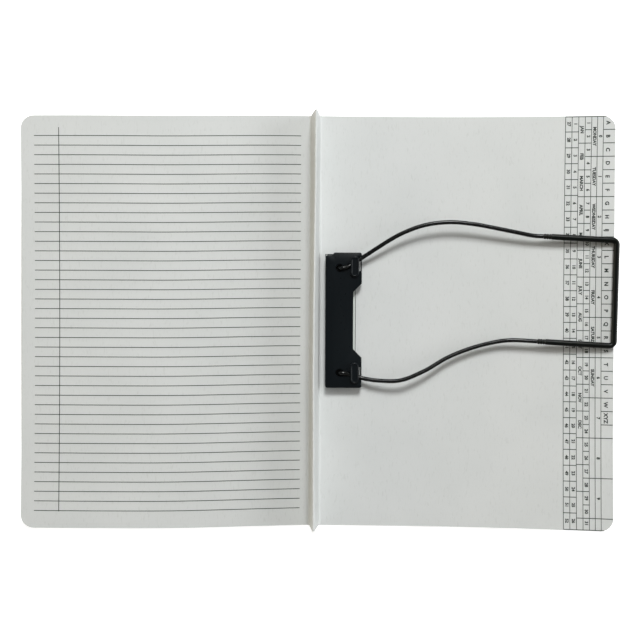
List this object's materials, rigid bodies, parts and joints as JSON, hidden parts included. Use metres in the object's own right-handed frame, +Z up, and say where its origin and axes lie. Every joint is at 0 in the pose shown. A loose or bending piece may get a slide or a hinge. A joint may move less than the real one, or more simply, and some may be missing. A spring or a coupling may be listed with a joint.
{
  "type": "filing folder",
  "caption": "Open card filing folder with a folded spine ridge, ruled inside front cover, index grid on the back cover and a tube clip with a flexible filing loop.",
  "frame": {"origin": "middle of the base of the open file, on the surface that it lies on", "axes": "+X across the open file from the front cover to the back cover, +Y up the page, +Z up out of the inside faces"},
  "size_m": [0.4544, 0.315, 0.0226],
  "materials": {
    "card": "uncoated pressboard, very light grey, fine fibre grain",
    "pad": "off-white double-sided adhesive foam",
    "clip_plastic": "injection moulded blue-black plastic, satin",
    "tube_plastic": "extruded flexible black plastic, semi-gloss",
    "bail_plastic": "stiff black plastic, semi-gloss"
  },
  "bodies": {
    "back": {"back_cover": "card", "adhesive_pad": "pad", "base_plate": "clip_plastic", "tube_foot_upper": "tube_plastic", "tube_foot_lower": "tube_plastic", "tube_riser_upper": "tube_plastic", "tube_riser_lower": "tube_plastic"},
    "spine_back": {"spine_back_panel": "card"},
    "spine_front": {"spine_front_panel": "card"},
    "front": {"front_cover": "card"},
    "compressor": {"compressor_bar": "clip_plastic", "tube_cleat_upper": "clip_plastic", "tube_cleat_lower": "clip_plastic", "tube_saddle_upper": "tube_plastic", "tube_saddle_lower": "tube_plastic"},
    "tubes": {"tube_free_upper": "tube_plastic", "tube_free_lower": "tube_plastic"},
    "loop_end": {"bail": "bail_plastic", "bail_ferrule_upper": "bail_plastic", "bail_ferrule_lower": "bail_plastic"}
  },
  "joints": [
    {"name": "back_cover_crease", "type": "hinge", "parent": "back", "child": "spine_back", "pos_m": [0.00084, 0, 0.00025], "axis": [0, 1, 0], "range_deg": [-82.4, 7.6]},
    {"name": "ridge_crease", "type": "hinge", "parent": "spine_back", "child": "spine_front", "pos_m": [-0.00256, 0, 0.02575], "axis": [0, 1, 0], "range_deg": [0, 164.8]},
    {"name": "front_cover_crease", "type": "hinge", "parent": "spine_front", "child": "front", "pos_m": [-0.00596, 0, 0.00025], "axis": [0, 1, 0], "range_deg": [-97.6, 7.6]},
    {"name": "compressor_lift", "type": "slide", "parent": "back", "child": "compressor", "axis": [0, 0, 1], "range_m": [0, 0.025], "deforming": ["tube_riser_upper", "tube_riser_lower"]},
    {"name": "loop_bend", "type": "hinge", "parent": "compressor", "child": "tubes", "pos_m": [0.03594, 0, 0.0064], "axis": [0, 1, 0], "range_deg": [-90, 0]},
    {"name": "bail_pull", "type": "slide", "parent": "tubes", "child": "loop_end", "axis": [0.997, -0.0557, 0.0541], "range_m": [0, 0.02]}
  ]
}
